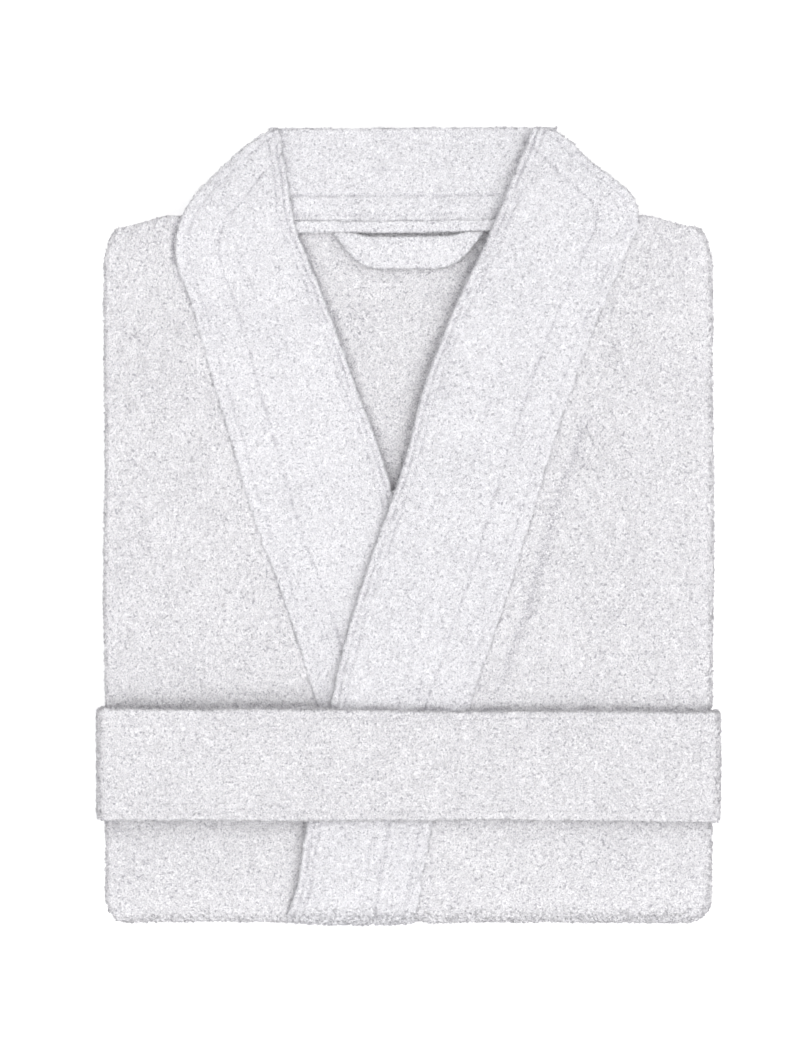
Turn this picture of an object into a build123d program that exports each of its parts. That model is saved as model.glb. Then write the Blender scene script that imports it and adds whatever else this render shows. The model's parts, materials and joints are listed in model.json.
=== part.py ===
from build123d import *
import os

# A terry bathrobe with a kimono collar, folded flat as it is put on a shelf.
# Millimetres. It lies front up: +X to the wearer's left, +Y to the collar, +Z up.
# The origin is under the middle of the pack, on the surface that it lies on.
# The robe is folded in three along its length. The torso lies on top, front up.
# The upper skirt is turned under it at the -Y end, and the lower skirt is turned
# back under that at the +Y end. The sides and the sleeves are folded behind.

# Driving dimensions
PACK_HALF_WIDTH = 166.5     # from the middle to a side fold
PACK_BOTTOM = -218.0        # the fold between torso and skirt
COLLAR_TOP = 218.0          # the folded edge of the neck band
SHOULDER = 163.0            # the shoulder line
SKIRT_FOLD = 150.0          # the fold between the two skirt sections
CLOTH = 2.6                 # one thickness of terry
BAND = 4.4                  # collar band and belt: terry sewn double
GAP = 0.3                   # air between one layer and the next
SEAM_GAP = 2.2              # between a front panel and the band sewn to it
CHANNEL_HALF_WIDTH = 33.0   # the folded sides stop this far from the middle
BELT_WIDTH = 61.0
BELT_TOP = -101.0           # the belt's edge nearer the collar
BELT_CLEARANCE = 0.6
BELT_TRAVEL_SPARE = 5.0     # past the collar, where the belt is off
BELT_STAND_OFF = 0.5        # between the side folds and the belt's inner face
BELT_SIDE = 3.2             # the belt's thickness where it is drawn tight round a side
BELT_OUTER_RADIUS = 7.0
BELT_INNER_RADIUS = 3.0
BELT_TAIL_LENGTH = 255.0    # each tail is doubled to this length
BELT_TAIL_STEP = 12.0       # the left tail is this much shorter
BELT_TAIL_INSET = 2.0       # from the belt's lower edge to the tails' ends
BELT_TAIL_SIDE = 2.5        # from the folded sides to a tail
BELT_TAIL_CLEARANCE = 1.2   # in all, above and between the tails
TAPE_THICKNESS = 1.0
TAPE_WIDTH = 4.0
TAPE_X = (-54.0, 60.0)
NECK_SEAM = 166.5           # where the neck band meets the back
TAPE_GAP = 0.2              # between that seam and the tape
LOOP_WIDTH = 15.0           # the hanging loop's strip
LOOP_THICKNESS = 2.6
LOOP_HALF = 37.0            # half of its length along the neck
LOOP_DROP = 22.0            # how far it hangs below its ends
LOOP_END = 6.0              # the straight part at each end
LOOP_CLEARANCE = 1.3        # above the back
LOOP_PIVOT_RISE = 4.7       # the line that it turns about, above the back
CORNER_RADIUS = 11.0        # the pack's corners, seen from above
SHOULDER_RUN = 20.0         # the rounded shoulder corner, along the shoulder
SHOULDER_DROP = 21.0        # and down the side
BACK_TOP_HALF_WIDTH = 120.0  # the back between the two shoulder corners
SKIRT_TURN_INSET = 3.0      # the back's turn stops this far inside the side folds
PIVOT_REACH = 1.05          # a fold's pivot, in fold radii from the fold's centre
HEM_DEPTH = 30.0
CUFF_DEPTH = 60.0
CUFF_END = 70.0             # from the bottom fold to a cuff's open end
SLEEVE_INSET = 6.0          # from a side fold to a sleeve
SLEEVE_DROP = 25.0          # from the shoulder to a sleeve's top
POCKET_THICKNESS = 1.6
POCKET_INSET = 24.0         # from the middle to a pocket's inner side
POCKET_SIDE = 8.0           # from a side fold to a pocket's outer side
POCKET_Y = (-130.0, 60.0)

# Levels inside a section, from its inner face to its outer front face.
# The inner face is the one where the sides are folded to the back.
WING_FRONT = (0.0, CLOTH)
WING_BACK = (WING_FRONT[1] + GAP, WING_FRONT[1] + GAP + CLOTH)
BACK = (WING_BACK[1] + GAP, WING_BACK[1] + GAP + CLOTH)
UNDER_PANEL = (BACK[1] + GAP, BACK[1] + GAP + CLOTH)
UNDER_BAND = (BACK[1] + GAP, BACK[1] + GAP + BAND)
OVER_PANEL = (UNDER_BAND[1] + GAP, UNDER_BAND[1] + GAP + CLOTH)
OVER_BAND = (UNDER_BAND[1] + GAP, UNDER_BAND[1] + GAP + BAND)
SECTION = OVER_BAND[1]
SLEEVE = 2 * CLOTH          # a flattened sleeve is two thicknesses

# Heights of the three sections. The layers of two neighbouring sections are
# concentric about the fold between them.
BELT_SPACE = BAND + 2 * BELT_CLEARANCE
TORSO_START = (BELT_SPACE + SLEEVE + GAP) / 2
LOWER_FOLD_Z = SECTION + GAP / 2
UPPER_TOP = 2 * LOWER_FOLD_Z
UPPER_FOLD_Z = UPPER_TOP + TORSO_START
UPPER_RADIUS = TORSO_START + SECTION
LOWER_RADIUS = LOWER_FOLD_Z
UPPER_FOLD_Y = PACK_BOTTOM + UPPER_RADIUS
LOWER_FOLD_Y = SKIRT_FOLD - LOWER_RADIUS
SLEEVE_Z = UPPER_FOLD_Z + TORSO_START - GAP - SLEEVE
TORSO_Z = UPPER_FOLD_Z + TORSO_START
TORSO_TOP = TORSO_Z + SECTION

# The robe's outlines from above. Each edge runs from the collar to the bottom.
OVER_INNER = [(70, 217), (46, 162), (8, 73), (-10, 13), (-42, -99), (-68, UPPER_FOLD_Y)]
OVER_SEAM = [(77, 217), (103, 196), (124, 172), (128, 160), (119, 144), (83, 56), (38, -86)]
OVER_SEAM += [(5, UPPER_FOLD_Y)]
UNDER_INNER = [(-71, 217), (-61, 162), (-32, 85), (-10, 15), (24, -99), (52, UPPER_FOLD_Y)]
UNDER_SEAM = [(-77, 217), (-98, 198), (-119, 172), (-126, 160), (-122, 134), (-82, -2), (-50, -99)]
UNDER_SEAM += [(-20, UPPER_FOLD_Y)]
SEAM_TOP = 3                # the seam's first point on the front panel; above it is the shoulder
OVER_BAND_X = (-68, 5)      # the bands run straight down the skirt
UNDER_BAND_X = (-20, 52)
HEM_Y = -180.0              # the robe's hem, in the lower skirt


class Section:
    """One of the three folded lengths: where its layers lie and which way it faces."""

    def __init__(self, fold_z, start, faces_up, y_low, y_high):
        self.fold_z = fold_z
        self.start = start
        self.faces_up = faces_up
        self.y_low = y_low
        self.y_high = y_high

    def span(self, level):
        """The lowest and highest Z of a layer."""
        low = self.start + level[0]
        high = self.start + level[1]
        if self.faces_up:
            return (self.fold_z + low, self.fold_z + high)
        return (self.fold_z - high, self.fold_z - low)


TORSO = Section(UPPER_FOLD_Z, TORSO_START, True, UPPER_FOLD_Y, SHOULDER)
UPPER = Section(UPPER_FOLD_Z, TORSO_START, False, UPPER_FOLD_Y, LOWER_FOLD_Y)
LOWER = Section(0.0, 0.0, True, HEM_Y, LOWER_FOLD_Y)


def slab(outline, span):
    """Adds a flat layer with a closed straight-sided outline."""
    with BuildSketch(Plane.XY.offset(span[0])) as plan:
        with BuildLine():
            Polyline(*outline, close=True)
        make_face()
    extrude(plan.sketch, amount=span[1] - span[0])


def strip(x_span, y_span, span):
    """Adds a flat rectangular layer."""
    (x0, x1), (y0, y1) = x_span, y_span
    slab([(x0, y0), (x1, y0), (x1, y1), (x0, y1)], span)


def quarter(x_span, centre, radii, toward_y, toward_z):
    """Adds a layer's quarter turn round a fold, along X."""
    y, z = centre
    with BuildSketch(Plane.YZ.offset(x_span[0])) as turn:
        with BuildLine():
            start = {(-1, 1): 90, (-1, -1): 180, (1, -1): 270, (1, 1): 0}[(toward_y, toward_z)]
            inner = CenterArc((y, z), radii[0], start, 90)
            outer = CenterArc((y, z), radii[1], start, 90)
            Line(inner @ 0, outer @ 0)
            Line(inner @ 1, outer @ 1)
        make_face()
    extrude(turn.sketch, amount=x_span[1] - x_span[0])


def bottom_turn(section, x_span, level):
    """Adds a layer's half of the fold at the -Y end, between torso and skirt."""
    radii = (section.start + level[0], section.start + level[1])
    up = 1 if section.faces_up else -1
    quarter(x_span, (UPPER_FOLD_Y, UPPER_FOLD_Z), radii, -1, up)


def skirt_turn(section, x_span, level):
    """Adds a layer's half of the fold at the +Y end, between the skirt sections."""
    low, high = section.span(level)
    up = -1 if section.faces_up else 1
    radii = sorted((abs(low - LOWER_FOLD_Z), abs(high - LOWER_FOLD_Z)))
    quarter(x_span, (LOWER_FOLD_Y, LOWER_FOLD_Z), radii, 1, up)


def side_wrap(section, side, inset, level, wing, y_span):
    """Adds the turn at a side fold and the wing that lies behind it."""
    low, high = sorted((section.span(level), section.span(wing)))
    x_out = PACK_HALF_WIDTH - inset
    edge = sorted((side * x_out, side * (x_out - CLOTH)))
    back = sorted((side * x_out, side * CHANNEL_HALF_WIDTH))
    strip(edge, y_span, (low[0], high[1]))
    strip(back, y_span, section.span(wing))


def band(inner, seam, span):
    """Adds a collar band between its inner edge and its seam."""
    with BuildSketch(Plane.XY.offset(span[0])) as plan:
        with BuildLine():
            edge = Spline(*inner)
            join = Spline(*seam)
            Line(edge @ 0, join @ 0)
            Line(edge @ 1, join @ 1)
        make_face()
    extrude(plan.sketch, amount=span[1] - span[0])


def front_panel(side, seam, level, reach):
    """Adds the torso's front on one side: it meets its band at the seam and
    goes round the side fold to the back."""
    low, high = TORSO.span(level)
    x_side = side * PACK_HALF_WIDTH
    with BuildSketch(Plane.XY.offset(low)) as plan:
        with BuildLine():
            join = Spline(*[(x + side * SEAM_GAP, y) for x, y in seam[SEAM_TOP:]])
            shoulder = Line(join @ 0, (side * (PACK_HALF_WIDTH - SHOULDER_RUN), SHOULDER))
            corner = Spline(
                shoulder @ 1, (x_side, SHOULDER - SHOULDER_DROP), tangents=[(side, 0), (0, -1)]
            )
            edge = Line(corner @ 1, (x_side, UPPER_FOLD_Y))
            Line(edge @ 1, join @ 1)
        make_face()
    extrude(plan.sketch, amount=high - low)
    side_wrap(TORSO, side, 0, level, WING_FRONT, (UPPER_FOLD_Y, SHOULDER - SHOULDER_DROP))
    bottom_turn(TORSO, sorted((x_side, reach + side * GAP)), level)


def back_layer(section, y_span):
    """Adds a section's back, which is folded in at both sides inside the fronts."""
    x_out = PACK_HALF_WIDTH - CLOTH - GAP
    strip((-x_out, x_out), y_span, section.span(BACK))
    for side in (-1, 1):
        side_wrap(section, side, CLOTH + GAP, BACK, WING_BACK, y_span)


def skirt_front(section, side, level, edge_x, y_span):
    """Adds a skirt section's front on one side, with its wing."""
    x_side = side * PACK_HALF_WIDTH
    strip(sorted((x_side, edge_x + side * GAP)), y_span, section.span(level))
    side_wrap(section, side, 0, level, WING_FRONT, y_span)


def finish(part, name):
    part.label = name
    export_step(part, f"parts/{name}.step")


os.makedirs("parts", exist_ok=True)

# ---------------------------------------------------------------- torso
with BuildPart() as back_panel:
    back_layer(TORSO, (UPPER_FOLD_Y, SHOULDER - SHOULDER_DROP))
    strip(
        (-BACK_TOP_HALF_WIDTH, BACK_TOP_HALF_WIDTH),
        (SHOULDER - SHOULDER_DROP, SHOULDER),
        TORSO.span(BACK),
    )
    bottom_turn(TORSO, (-PACK_HALF_WIDTH + CORNER_RADIUS, PACK_HALF_WIDTH - CORNER_RADIUS), BACK)
finish(back_panel.part, "back_panel")

with BuildPart() as right_front_panel:
    front_panel(-1, UNDER_SEAM, UNDER_PANEL, UNDER_BAND_X[0])
finish(right_front_panel.part, "right_front_panel")

with BuildPart() as left_front_panel:
    front_panel(1, OVER_SEAM, OVER_PANEL, OVER_BAND_X[1])
finish(left_front_panel.part, "left_front_panel")

with BuildPart() as right_collar_band:
    band(UNDER_INNER, UNDER_SEAM, TORSO.span(UNDER_BAND))
    bottom_turn(TORSO, UNDER_BAND_X, UNDER_BAND)
finish(right_collar_band.part, "right_collar_band")

with BuildPart() as left_collar_band:
    band(OVER_INNER, OVER_SEAM, TORSO.span(OVER_BAND))
    bottom_turn(TORSO, OVER_BAND_X, OVER_BAND)
finish(left_collar_band.part, "left_collar_band")

# The neck band runs behind the neck, from one lapel's inner edge to under the other.
with BuildPart() as neck_band:
    slab(
        [(-70, COLLAR_TOP), (76, COLLAR_TOP), (104, NECK_SEAM), (-61.5, NECK_SEAM)],
        TORSO.span(UNDER_BAND),
    )
finish(neck_band.part, "neck_band")

# A narrow tape covers the neck seam on the inside.
TAPE = (BACK[1], BACK[1] + TAPE_THICKNESS)
TAPE_TOP = NECK_SEAM - TAPE_GAP
with BuildPart() as neck_tape:
    strip(TAPE_X, (TAPE_TOP - TAPE_WIDTH, TAPE_TOP), TORSO.span(TAPE))
finish(neck_tape.part, "neck_tape")

for side, name in ((-1, "right"), (1, "left")):
    sleeve_x = sorted((side * CHANNEL_HALF_WIDTH, side * (PACK_HALF_WIDTH - SLEEVE_INSET)))
    cuff_y = PACK_BOTTOM + CUFF_END
    with BuildPart() as sleeve:
        strip(sleeve_x, (cuff_y + CUFF_DEPTH, SHOULDER - SLEEVE_DROP), (SLEEVE_Z, SLEEVE_Z + SLEEVE))
    finish(sleeve.part, f"{name}_sleeve")
    with BuildPart() as cuff:
        strip(sleeve_x, (cuff_y, cuff_y + CUFF_DEPTH - GAP), (SLEEVE_Z, SLEEVE_Z + SLEEVE))
    finish(cuff.part, f"{name}_cuff")

# ---------------------------------------------------------------- hanging loop
LOOP_HINGE = (162.0, TORSO.span(BACK)[1] + LOOP_PIVOT_RISE)     # Y and Z
LOOP_Z = TORSO.span(BACK)[1] + LOOP_CLEARANCE
with BuildPart() as hanger_loop:
    with BuildSketch(Plane.XY.offset(LOOP_Z)) as loop_plan:
        with BuildLine():
            y = LOOP_HINGE[0]
            outer_left = Line((-LOOP_HALF, y), (-LOOP_HALF, y - LOOP_END))
            outer = Spline(
                outer_left @ 1, (0, y - LOOP_DROP), (LOOP_HALF, y - LOOP_END),
                tangents=[(0.25, -1), (0.25, 1)],
            )
            outer_right = Line(outer @ 1, (LOOP_HALF, y))
            right_end = Line(outer_right @ 1, (LOOP_HALF - LOOP_WIDTH, y))
            inner = Spline(
                right_end @ 1, (0, y - LOOP_DROP + LOOP_WIDTH), (-LOOP_HALF + LOOP_WIDTH, y),
                tangents=[(-1, -1), (-1, 1)],
            )
            Line(inner @ 1, outer_left @ 0)
        make_face()
    extrude(loop_plan.sketch, amount=LOOP_THICKNESS)
finish(hanger_loop.part, "hanger_loop")

# ---------------------------------------------------------------- belt
BELT_Y = (BELT_TOP - BELT_WIDTH, BELT_TOP)
BELT_IN_X = PACK_HALF_WIDTH + BELT_STAND_OFF
BELT_IN_Z = (UPPER_TOP + BELT_CLEARANCE + BAND, TORSO_TOP + BELT_STAND_OFF)
with BuildPart() as belt:
    with BuildSketch(Plane.XZ.offset(-BELT_Y[1])) as ring:
        middle = (BELT_IN_Z[0] + BELT_IN_Z[1]) / 2
        height = BELT_IN_Z[1] - BELT_IN_Z[0]
        with Locations((0, middle)):
            RectangleRounded(2 * (BELT_IN_X + BELT_SIDE), height + 2 * BAND, BELT_OUTER_RADIUS)
            RectangleRounded(2 * BELT_IN_X, height, BELT_INNER_RADIUS, mode=Mode.SUBTRACT)
    extrude(amount=BELT_WIDTH)
finish(belt.part, "belt")

# The belt's two tails are doubled and lie along the channel between the folded sides.
TAIL_HALF = CHANNEL_HALF_WIDTH - BELT_TAIL_SIDE
TAIL_LAYER = (TORSO.span(BACK)[0] - BELT_IN_Z[0] - BELT_TAIL_CLEARANCE) / 2
TAIL_Y = BELT_Y[0] + BELT_TAIL_INSET
for index, name in enumerate(("belt_tail_right", "belt_tail_left")):
    tail_z = BELT_IN_Z[0] + index * TAIL_LAYER
    with BuildPart() as tail:
        strip(
            (-TAIL_HALF, TAIL_HALF),
            (TAIL_Y, TAIL_Y + BELT_TAIL_LENGTH - index * BELT_TAIL_STEP),
            (tail_z, tail_z + TAIL_LAYER - GAP),
        )
    finish(tail.part, name)

# ---------------------------------------------------------------- upper skirt
upper_y = (UPPER.y_low, UPPER.y_high)
with BuildPart() as upper_back:
    back_layer(UPPER, upper_y)
    bottom_turn(UPPER, (-PACK_HALF_WIDTH + CORNER_RADIUS, PACK_HALF_WIDTH - CORNER_RADIUS), BACK)
    skirt_turn(UPPER, (-PACK_HALF_WIDTH + SKIRT_TURN_INSET, PACK_HALF_WIDTH - SKIRT_TURN_INSET), BACK)
finish(upper_back.part, "upper_back")

fronts = (
    ("right", -1, UNDER_PANEL, UNDER_BAND, UNDER_BAND_X, UNDER_BAND_X[0]),
    ("left", 1, OVER_PANEL, OVER_BAND, OVER_BAND_X, OVER_BAND_X[1]),
)
for name, side, level, band_level, band_x, edge_x in fronts:
    front_x = sorted((side * PACK_HALF_WIDTH, edge_x + side * GAP))
    with BuildPart() as front:
        skirt_front(UPPER, side, level, edge_x, upper_y)
        bottom_turn(UPPER, front_x, level)
        skirt_turn(UPPER, front_x, level)
    finish(front.part, f"upper_{name}_front")
    with BuildPart() as facing:
        strip(band_x, upper_y, UPPER.span(band_level))
        bottom_turn(UPPER, band_x, band_level)
        skirt_turn(UPPER, band_x, band_level)
    finish(facing.part, f"upper_{name}_band")
    with BuildPart() as pocket:
        outside = UPPER.span(level)[0]
        strip(
            sorted((side * (PACK_HALF_WIDTH - POCKET_SIDE), side * POCKET_INSET)),
            POCKET_Y,
            (outside - POCKET_THICKNESS, outside),
        )
    finish(pocket.part, f"{name}_pocket")

# ---------------------------------------------------------------- lower skirt
lower_y = (LOWER.y_low + HEM_DEPTH, LOWER.y_high)
hem_y = (LOWER.y_low, LOWER.y_low + HEM_DEPTH - GAP)
with BuildPart() as lower_back:
    back_layer(LOWER, lower_y)
    skirt_turn(LOWER, (-PACK_HALF_WIDTH + SKIRT_TURN_INSET, PACK_HALF_WIDTH - SKIRT_TURN_INSET), BACK)
finish(lower_back.part, "lower_back")
with BuildPart() as back_hem:
    back_layer(LOWER, hem_y)
finish(back_hem.part, "back_hem")

for name, side, level, band_level, band_x, edge_x in fronts:
    front_x = sorted((side * PACK_HALF_WIDTH, edge_x + side * GAP))
    with BuildPart() as front:
        skirt_front(LOWER, side, level, edge_x, lower_y)
        skirt_turn(LOWER, front_x, level)
    finish(front.part, f"lower_{name}_front")
    with BuildPart() as hem:
        skirt_front(LOWER, side, level, edge_x, hem_y)
    finish(hem.part, f"{name}_front_hem")
    with BuildPart() as facing:
        strip(band_x, (LOWER.y_low, LOWER.y_high), LOWER.span(band_level))
        skirt_turn(LOWER, band_x, band_level)
    finish(facing.part, f"lower_{name}_band")

# ---------------------------------------------------------------- joints
print("upper skirt pivot", PACK_BOTTOM + UPPER_RADIUS * (1 - PIVOT_REACH), UPPER_FOLD_Z)
print("lower skirt pivot", LOWER_FOLD_Y + LOWER_RADIUS * PIVOT_REACH, LOWER_FOLD_Z)
print("loop hinge", LOOP_HINGE)
print("belt travel", COLLAR_TOP - BELT_Y[0] + BELT_TRAVEL_SPARE)
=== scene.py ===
import json
import math

import bpy
import numpy as np
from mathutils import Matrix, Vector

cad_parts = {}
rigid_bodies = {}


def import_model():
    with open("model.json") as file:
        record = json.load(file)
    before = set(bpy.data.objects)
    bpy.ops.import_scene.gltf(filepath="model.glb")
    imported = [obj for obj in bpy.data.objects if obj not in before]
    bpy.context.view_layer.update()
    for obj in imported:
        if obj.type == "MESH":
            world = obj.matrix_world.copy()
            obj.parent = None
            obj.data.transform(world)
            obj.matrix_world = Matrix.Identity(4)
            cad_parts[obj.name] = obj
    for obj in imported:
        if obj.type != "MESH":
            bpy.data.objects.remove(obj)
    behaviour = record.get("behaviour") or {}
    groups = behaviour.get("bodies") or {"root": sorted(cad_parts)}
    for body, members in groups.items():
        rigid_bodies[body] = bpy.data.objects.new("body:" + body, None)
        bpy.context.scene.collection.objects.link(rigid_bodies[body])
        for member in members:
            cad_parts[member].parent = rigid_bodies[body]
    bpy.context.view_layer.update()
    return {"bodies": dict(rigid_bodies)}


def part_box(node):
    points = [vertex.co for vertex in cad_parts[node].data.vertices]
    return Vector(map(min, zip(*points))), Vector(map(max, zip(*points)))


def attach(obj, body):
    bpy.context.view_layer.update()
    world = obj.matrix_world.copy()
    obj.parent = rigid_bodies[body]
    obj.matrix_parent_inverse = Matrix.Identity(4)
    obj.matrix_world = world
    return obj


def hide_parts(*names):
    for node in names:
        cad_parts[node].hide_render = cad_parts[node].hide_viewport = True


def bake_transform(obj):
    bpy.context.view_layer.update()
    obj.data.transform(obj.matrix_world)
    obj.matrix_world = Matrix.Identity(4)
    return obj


# A terry bathrobe, folded flat. Lengths here are in millimetres until a mesh is made.
# Each cloth piece is a thin closed profile (across the robe) swept along the folded
# robe (torso, bottom fold, upper skirt, skirt fold, lower skirt), and its pile is
# real relief on the mesh. Which layer it is, its level, is its distance out from
# the face where the sides are folded in.

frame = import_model()
MM = 0.001


def corner(node, end):
    """A CAD node's lowest (0) or highest (1) corner, in millimetres."""
    return np.array(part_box(node)[end]) / MM


# ------------------------------------------------------------ sizes from the frame
HALF_WIDTH = corner("left_front_panel", 1)[0]
CLOTH = (corner("left_sleeve", 1)[2] - corner("left_sleeve", 0)[2]) / 2
BAND = corner("neck_band", 1)[2] - corner("neck_band", 0)[2]
GAP = 0.3                   # air between one layer and the next
WING_FRONT = (0.0, CLOTH)
WING_BACK = (CLOTH + GAP, 2 * CLOTH + GAP)
BACK = (2 * (CLOTH + GAP), 2 * (CLOTH + GAP) + CLOTH)
UNDER_PANEL = (BACK[1] + GAP, BACK[1] + GAP + CLOTH)
UNDER_BAND = (BACK[1] + GAP, BACK[1] + GAP + BAND)
OVER_PANEL = (UNDER_BAND[1] + GAP, UNDER_BAND[1] + GAP + CLOTH)
OVER_BAND = (UNDER_BAND[1] + GAP, UNDER_BAND[1] + GAP + BAND)

TORSO_TOP = corner("left_collar_band", 1)[2]
TORSO_FACE = TORSO_TOP - OVER_BAND[1]               # the torso's level 0
FOLD_Z = corner("upper_left_band", 1)[2]            # the bottom fold's centre
START = TORSO_TOP - FOLD_Z - OVER_BAND[1]           # its radius at level 0
FOLD_Y = corner("left_collar_band", 0)[1] + TORSO_TOP - FOLD_Z
SKIRT_Z = corner("lower_left_front", 1)[2]          # the skirt fold's centre
SKIRT_Y = corner("lower_back", 1)[1] - (SKIRT_Z - BACK[0])
SHOULDER = corner("left_front_panel", 1)[1]
COLLAR_TOP = corner("neck_band", 1)[1]
HEM_Y = corner("back_hem", 0)[1]
CHANNEL = corner("left_sleeve", 0)[0]
BELT_Y = (corner("belt", 0)[1], corner("belt", 1)[1])

# Distance along the robe: negative on the torso, then the bottom fold, the upper
# skirt, the skirt fold and the lower skirt.
FOLD_RUN = 66.0             # round the bottom fold
SKIRT_RUN = 40.0            # round the skirt fold
UPPER_RUN = SKIRT_Y - FOLD_Y
UPPER_START = FOLD_RUN
SKIRT_FOLD_START = FOLD_RUN + UPPER_RUN
LOWER_START = SKIRT_FOLD_START + SKIRT_RUN
HEM_END = LOWER_START + SKIRT_Y - HEM_Y

# The outlines on the torso, as x at heights y, from the bottom to the collar.
OVER_INNER = ((-195, -61), (-163, -56), (-99, -42), (-54, -31), (-20, -20.5), (13, -9),
              (35, -2), (73, 8), (116, 25), (162, 46), (190, 57), (218, 68))
OVER_SEAM = ((-195, 8), (-163, 14), (-99, 34), (-40, 54), (-2, 66), (56, 83), (96, 97),
             (134, 113), (148, 120), (160, 127), (170, 125), (185, 114), (200, 98),
             (206, 92), (212, 85), (216, 78.5), (218, 72.5))
UNDER_INNER = ((-195, 49), (-163, 41), (-99, 26), (-54, 15), (12, -6.5), (36, -14),
               (85, -32), (134, -50), (162, -61), (190, -66), (218, -71))
UNDER_SEAM = ((-195, -25), (-163, -31), (-89, -53), (-43, -67), (-2, -82), (56, -99.5),
              (90, -110), (118, -118), (131, -122), (140, -125.5), (150, -127), (158, -125.5),
              (167, -121), (173, -117), (182, -111), (196, -101), (206, -91), (213, -82.5),
              (218, -75.5))
OVER_SKIRT = (-61, 8)
UNDER_SKIRT = (49, -25)

# How the folded cloth settles.
PRESSED = 0.11              # the share by which the layers are thinner past the bottom fold
PUFF = 1.2                  # how far the outer layers stand off the bottom fold
UNDER_PUFF = 6.0            # and more where the under panel shows beside the overlap
OVER_PUFF = 1.8             # and where the over panel is on top
EDGE_SINK = 0.13            # the share by which the stack is lower at its edges
COLLAR_DROOP = 0.0021       # the collar sinks with the square of its overhang
BOTTOM_CORNER = 7.0         # how far the bottom corners are drawn in
SHOULDER_CORNER = 9.5       # and the shoulder corners
SHOULDER_LIFT = 6.5         # how far the collar pulls the shoulder line up


def smooth(t):
    t = np.clip(t, 0, 1)
    return t * t * (3 - 2 * t)


# ------------------------------------------------------------ noise
def lattice_gradients(cell, seed):
    """A fixed pseudo-random gradient for each lattice cell."""
    h = (cell[..., 0] * 374761393 + cell[..., 1] * 668265263 + cell[..., 2] * 2147483629
         + seed * 1274126177) & 0xFFFFFFFF
    h = ((h ^ (h >> 13)) * 1274126177) & 0xFFFFFFFF
    h = h ^ (h >> 16)
    around = (h & 0xFFFF) * (2 * math.pi / 0xFFFF)
    up = ((h >> 16) & 0xFFFF) * (2.0 / 0xFFFF) - 1.0
    flat = np.sqrt(np.maximum(0.0, 1.0 - up * up))
    return np.stack((flat * np.cos(around), flat * np.sin(around), up), axis=-1)


def noise(p, wave, seed):
    """Smooth gradient noise, about -1 to 1, with features a wave long."""
    q = p / wave
    base = np.floor(q)
    f = q - base
    base = base.astype(np.int64)
    w = f * f * f * (f * (f * 6 - 15) + 10)
    total = np.zeros(p.shape[:-1])
    for dx in (0, 1):
        wx = w[..., 0] if dx else 1 - w[..., 0]
        for dy in (0, 1):
            wy = w[..., 1] if dy else 1 - w[..., 1]
            for dz in (0, 1):
                wz = w[..., 2] if dz else 1 - w[..., 2]
                step = np.array((dx, dy, dz))
                g = lattice_gradients(base + step, seed)
                total += wx * wy * wz * np.sum(g * (f - step), axis=-1)
    return total * 1.6


def worms(p, wave, seed):
    """Curly ridges, 0 to 1, such as the loops of terry lying every way."""
    warp = np.stack([noise(p, wave * 2.3, seed + 7 + k) for k in range(3)], axis=-1)
    return 1.0 - np.minimum(1.0, np.abs(noise(p + warp * wave * 0.7, wave, seed)) * 2.6)


def pile(p, seed):
    """Height of the terry's loops over the cloth, in millimetres."""
    loops = worms(p, 2.2, seed) - 0.45
    fine = noise(p, 1.3, seed + 31)
    tufts = noise(p, 6.5, seed + 57)
    return 0.7 * loops + 0.3 * fine + 0.1 * tufts


# ------------------------------------------------------------ the robe's folded shape
def place(x, level, s):
    """The point across the robe at x, in the layer at level, a distance s along it."""
    level = level * (1 - PRESSED * smooth((s - 20) / 30))
    near = START + level
    far = SKIRT_Z - level
    turn = math.pi * np.clip(s / FOLD_RUN, 0, 1)
    beside_overlap = smooth((-x - 59) / 8) * (1 - smooth((level - 11.5) / 1.5))
    over_panel = smooth((x - 6) / 8) * smooth((level - 12) / 2)
    puff = smooth((level - 8) / 2.5) * (
        PUFF + UNDER_PUFF * beside_overlap + OVER_PUFF * over_panel)
    turn_back = math.pi * np.clip((s - SKIRT_FOLD_START) / SKIRT_RUN, 0, 1)
    zones = [s < 0, s < UPPER_START, s < SKIRT_FOLD_START, s < LOWER_START]
    y = np.select(zones, [
        FOLD_Y - s,
        FOLD_Y - (near + puff) * np.sin(turn),
        FOLD_Y + s - UPPER_START,
        SKIRT_Y + far * np.sin(turn_back),
    ], SKIRT_Y - (s - LOWER_START))
    z = np.select(zones, [
        FOLD_Z + near,
        FOLD_Z + near * np.cos(turn),
        FOLD_Z - near,
        SKIRT_Z + far * np.cos(turn_back),
    ], SKIRT_Z - far)
    return np.stack(np.broadcast_arrays(x, y, z), axis=-1)


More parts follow.
